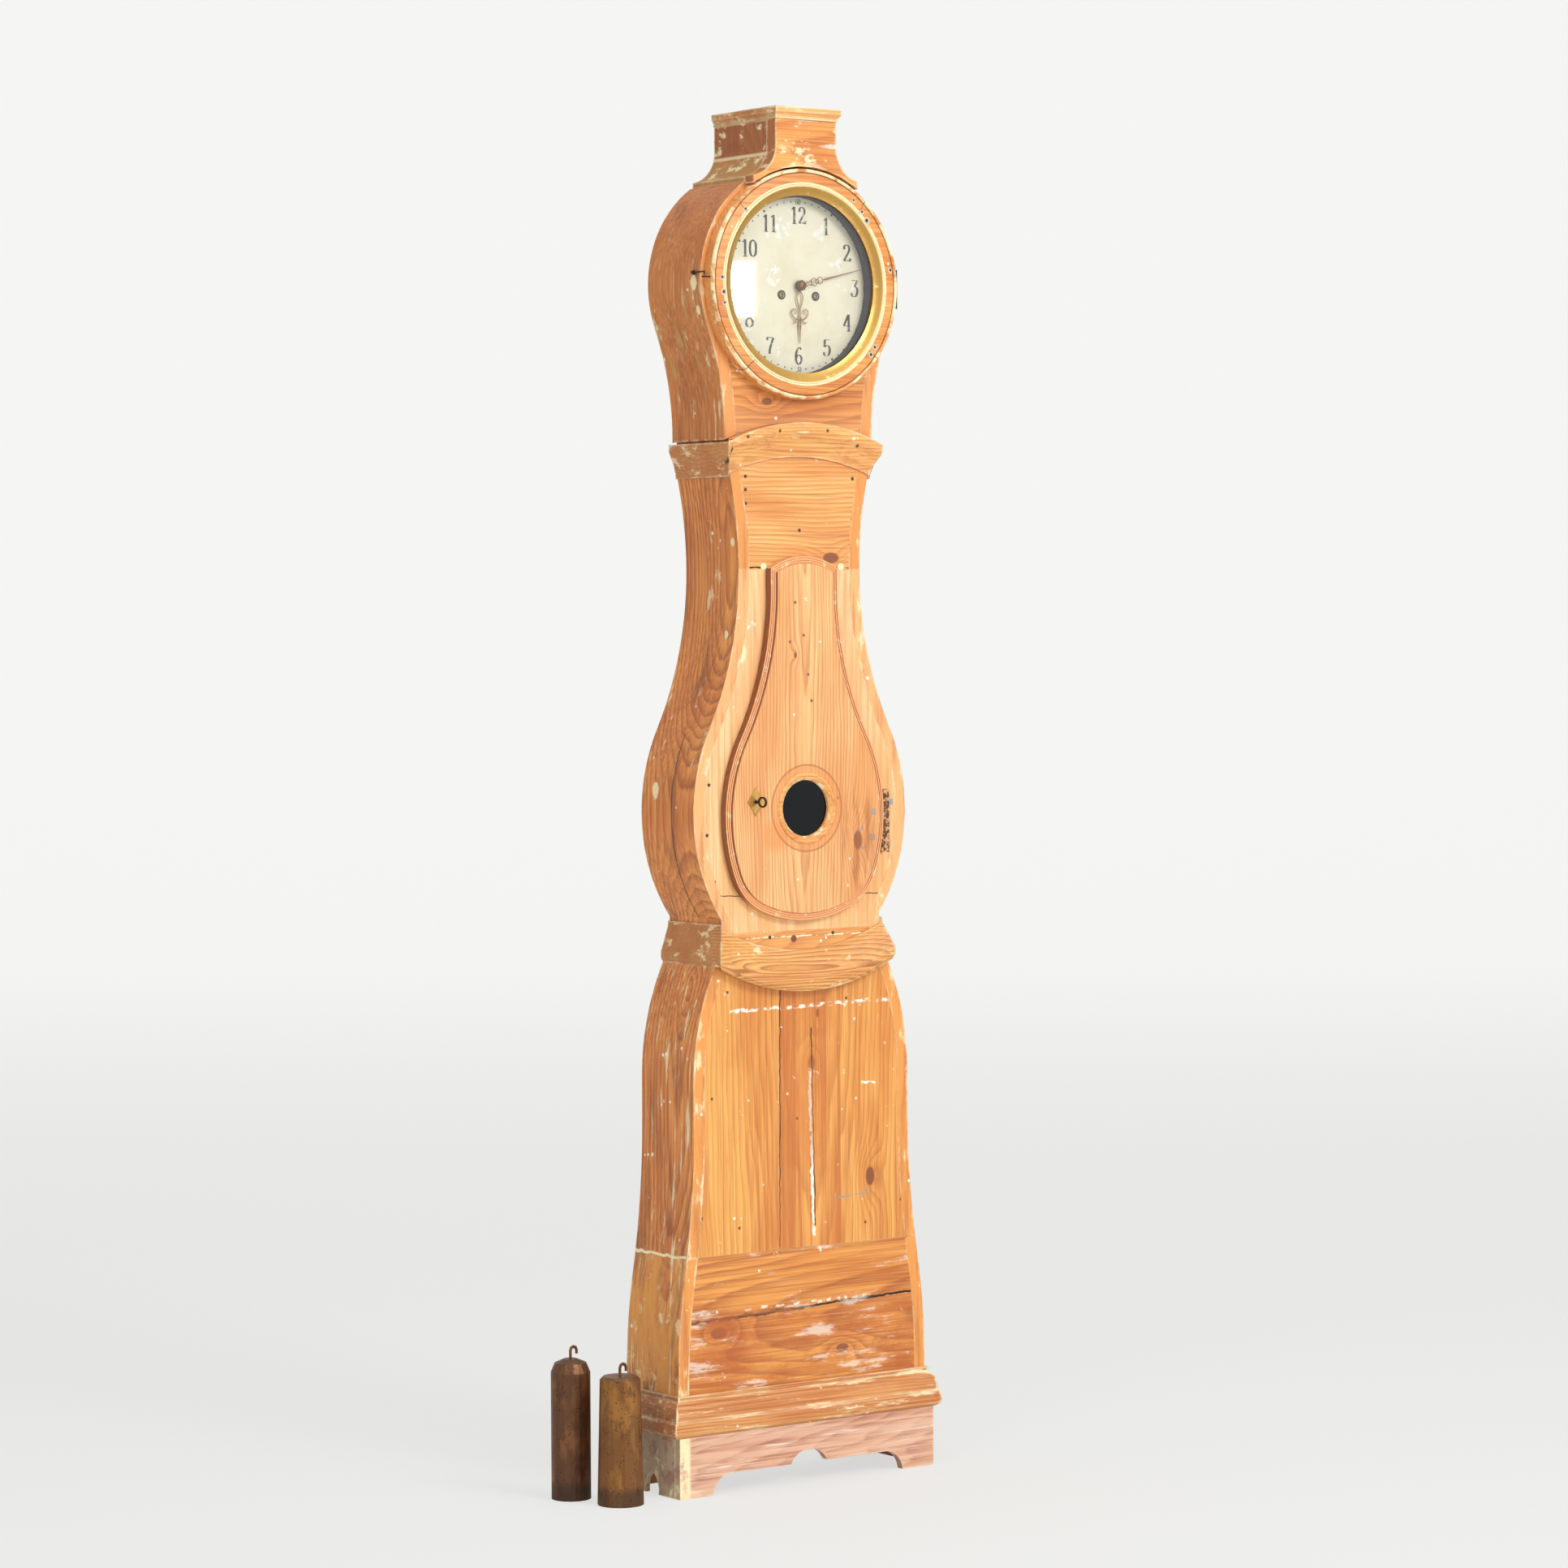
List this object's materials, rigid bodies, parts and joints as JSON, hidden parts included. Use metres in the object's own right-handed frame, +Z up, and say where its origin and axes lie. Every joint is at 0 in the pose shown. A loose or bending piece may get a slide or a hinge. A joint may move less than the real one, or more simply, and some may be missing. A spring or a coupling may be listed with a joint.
{
  "type": "mora clock",
  "caption": "Swedish longcase clock in worn pine: pear-shaped case with door, round hood with hinged bezel, geared movement, pendulum and two loose weights.",
  "frame": {"origin": "middle of the back plane at floor level, on the face that stands against the wall", "axes": "+X to the viewer's right, +Y to the wall behind the clock, +Z up; the front faces -Y"},
  "size_m": [0.6451, 0.1813, 2.1],
  "materials": {
    "moulding_wood": "worn paint over pine, matt",
    "honey_pine": "waxed old pine, satin",
    "worn_side_pine": "worn brown paint over pine, matt",
    "door_pine": "waxed old pine, satin",
    "ring_wood": "turned and worn pine, satin",
    "old_gilt": "old gilding over wood",
    "window_glass": "old clear glass",
    "lens_glass": "dark clear glass",
    "painted_dial": "flaking cream paint on iron",
    "brass": "worn polished brass",
    "old_brass_plate": "dull brass plates",
    "bob_brass": "brass-faced disc",
    "bell_bronze": "cast bell metal",
    "dark_iron": "forged and rusted dark",
    "weight_iron": "brown patina with dark specks"
  },
  "bodies": {
    "case": {"plinth_front": "moulding_wood", "plinth_sides": "moulding_wood", "base_mouldings": "moulding_wood", "lower_front_boards": "honey_pine", "lower_front_rails": "honey_pine", "lower_side_left": "worn_side_pine", "lower_side_right": "worn_side_pine", "floor_board": "honey_pine", "waist_mouldings": "moulding_wood", "trunk_front_board": "honey_pine", "trunk_top_board": "honey_pine", "trunk_bottom_rail": "honey_pine", "trunk_side_left": "worn_side_pine", "trunk_side_right": "worn_side_pine", "neck_mouldings": "moulding_wood", "back_boards": "honey_pine", "seat_cheeks": "honey_pine", "seat_board": "honey_pine", "door_hinge_leaves": "dark_iron", "dial": "painted_dial", "movement_frame": "old_brass_plate", "bells": "bell_bronze"},
    "hood": {"hood_front": "honey_pine", "hood_side_left": "worn_side_pine", "hood_side_right": "worn_side_pine", "crown_front": "honey_pine", "crown_boards": "honey_pine", "cap": "honey_pine", "bezel_hinge_leaves": "dark_iron", "latch_staple": "dark_iron"},
    "bezel": {"bezel_ring": "ring_wood", "gilt_ring": "old_gilt", "bezel_glass": "window_glass", "bezel_hinge_straps": "dark_iron", "latch_eye": "dark_iron"},
    "latch": {"hook_latch": "dark_iron"},
    "door": {"door_panel": "door_pine", "lens_ring": "ring_wood", "lens_glass": "lens_glass", "escutcheon": "brass", "lock_case": "dark_iron", "door_hinge_straps": "dark_iron"},
    "bolt": {"lock_bolt": "dark_iron"},
    "key": {"key": "dark_iron"},
    "minute_shaft": {"centre_arbor": "brass", "minute_hand": "brass"},
    "hour_pipe": {"hour_wheel": "brass", "hour_hand": "brass"},
    "motion_wheel": {"minute_wheel": "brass"},
    "going_barrel": {"going_barrel": "brass"},
    "third_wheel": {"third_wheel": "brass"},
    "escape_wheel": {"escape_wheel": "brass"},
    "anchor": {"anchor": "dark_iron"},
    "pendulum": {"pendulum_rod": "dark_iron", "pendulum_bob": "bob_brass"},
    "strike_barrel": {"strike_barrel": "brass"},
    "pin_wheel": {"pin_wheel": "brass"},
    "hammers": {"hammers": "dark_iron"},
    "round_weight": {"round_weight": "weight_iron"},
    "cone_weight": {"cone_weight": "weight_iron"}
  },
  "joints": [
    {"name": "hood_slide", "type": "slide", "parent": "case", "child": "hood", "axis": [0, -1, 0], "range_m": [0, 0.3]},
    {"name": "bezel_hinge", "type": "hinge", "parent": "hood", "child": "bezel", "pos_m": [0.18425, -0.1415, 1.8336], "axis": [0, 0, 1], "range_deg": [0, 100]},
    {"name": "latch_hinge", "type": "hinge", "parent": "hood", "child": "latch", "pos_m": [-0.18548, -0.126, 1.846], "axis": [-1, 0, 0], "range_deg": [0, 100]},
    {"name": "door_hinge", "type": "hinge", "parent": "case", "child": "door", "pos_m": [0.1535, -0.141, 1.012], "axis": [0, 0, 1], "range_deg": [0, 100]},
    {"name": "key_turn", "type": "hinge", "parent": "door", "child": "key", "pos_m": [-0.096, -0.14, 1.048], "axis": [0, 1, 0], "range_deg": [0, 90.1]},
    {"name": "bolt_slide", "type": "slide", "parent": "door", "child": "bolt", "axis": [-1, 0, 0], "range_m": [0, 0.01]},
    {"name": "minute_turn", "type": "hinge", "parent": "case", "child": "minute_shaft", "pos_m": [0.01, -0.08, 1.8336], "axis": [0, 1, 0], "continuous": true},
    {"name": "hour_turn", "type": "hinge", "parent": "case", "child": "hour_pipe", "pos_m": [0.01, -0.08, 1.8336], "axis": [0, 1, 0], "continuous": true},
    {"name": "motion_turn", "type": "hinge", "parent": "case", "child": "motion_wheel", "pos_m": [0.01, -0.08, 1.8066], "axis": [0, 1, 0], "continuous": true},
    {"name": "going_turn", "type": "hinge", "parent": "case", "child": "going_barrel", "pos_m": [-0.0223, -0.08, 1.8186], "axis": [0, 1, 0], "continuous": true},
    {"name": "third_turn", "type": "hinge", "parent": "case", "child": "third_wheel", "pos_m": [0.00142, -0.08, 1.8592], "axis": [0, 1, 0], "continuous": true},
    {"name": "escape_turn", "type": "hinge", "parent": "case", "child": "escape_wheel", "pos_m": [0.01, -0.08, 1.8796], "axis": [0, 1, 0], "continuous": true},
    {"name": "strike_turn", "type": "hinge", "parent": "case", "child": "strike_barrel", "pos_m": [0.0423, -0.08, 1.8186], "axis": [0, 1, 0], "continuous": true},
    {"name": "pin_turn", "type": "hinge", "parent": "case", "child": "pin_wheel", "pos_m": [0.0361, -0.08, 1.8537], "axis": [0, 1, 0], "continuous": true},
    {"name": "hammer_lift", "type": "hinge", "parent": "case", "child": "hammers", "pos_m": [0.06, -0.081, 1.8896], "axis": [0, 1, 0], "range_deg": [0, 7], "stiffness_Nm_per_rad": 0.2, "springref_deg": -5.73},
    {"name": "pendulum_swing", "type": "hinge", "parent": "case", "child": "pendulum", "pos_m": [0.01, -0.042, 1.90576], "axis": [0, 1, 0], "range_deg": [-2.5, 2.5]},
    {"name": "anchor_rock", "type": "hinge", "parent": "case", "child": "anchor", "pos_m": [0.01, -0.06, 1.90576], "axis": [0, 1, 0], "range_deg": [-2.5, 2.5]},
    {"name": "round_weight_lift", "type": "slide", "parent": "case", "child": "round_weight", "axis": [0, 0, 1], "range_m": [0, 0.3]},
    {"name": "cone_weight_lift", "type": "slide", "parent": "case", "child": "cone_weight", "axis": [0, 0, 1], "range_m": [0, 0.3]}
  ],
  "couplings": [
    {"joint": "key_turn", "follows": "bolt_slide", "rad_per_m": 157.08},
    {"joint": "hour_turn", "follows": "minute_turn", "ratio": 0.083333},
    {"joint": "motion_turn", "follows": "minute_turn", "ratio": -0.33333},
    {"joint": "going_turn", "follows": "minute_turn", "ratio": -0.14286},
    {"joint": "third_turn", "follows": "minute_turn", "ratio": -8},
    {"joint": "escape_turn", "follows": "minute_turn", "ratio": 64},
    {"joint": "pin_turn", "follows": "strike_turn", "ratio": -7},
    {"joint": "anchor_rock", "follows": "pendulum_swing", "ratio": 1}
  ]
}
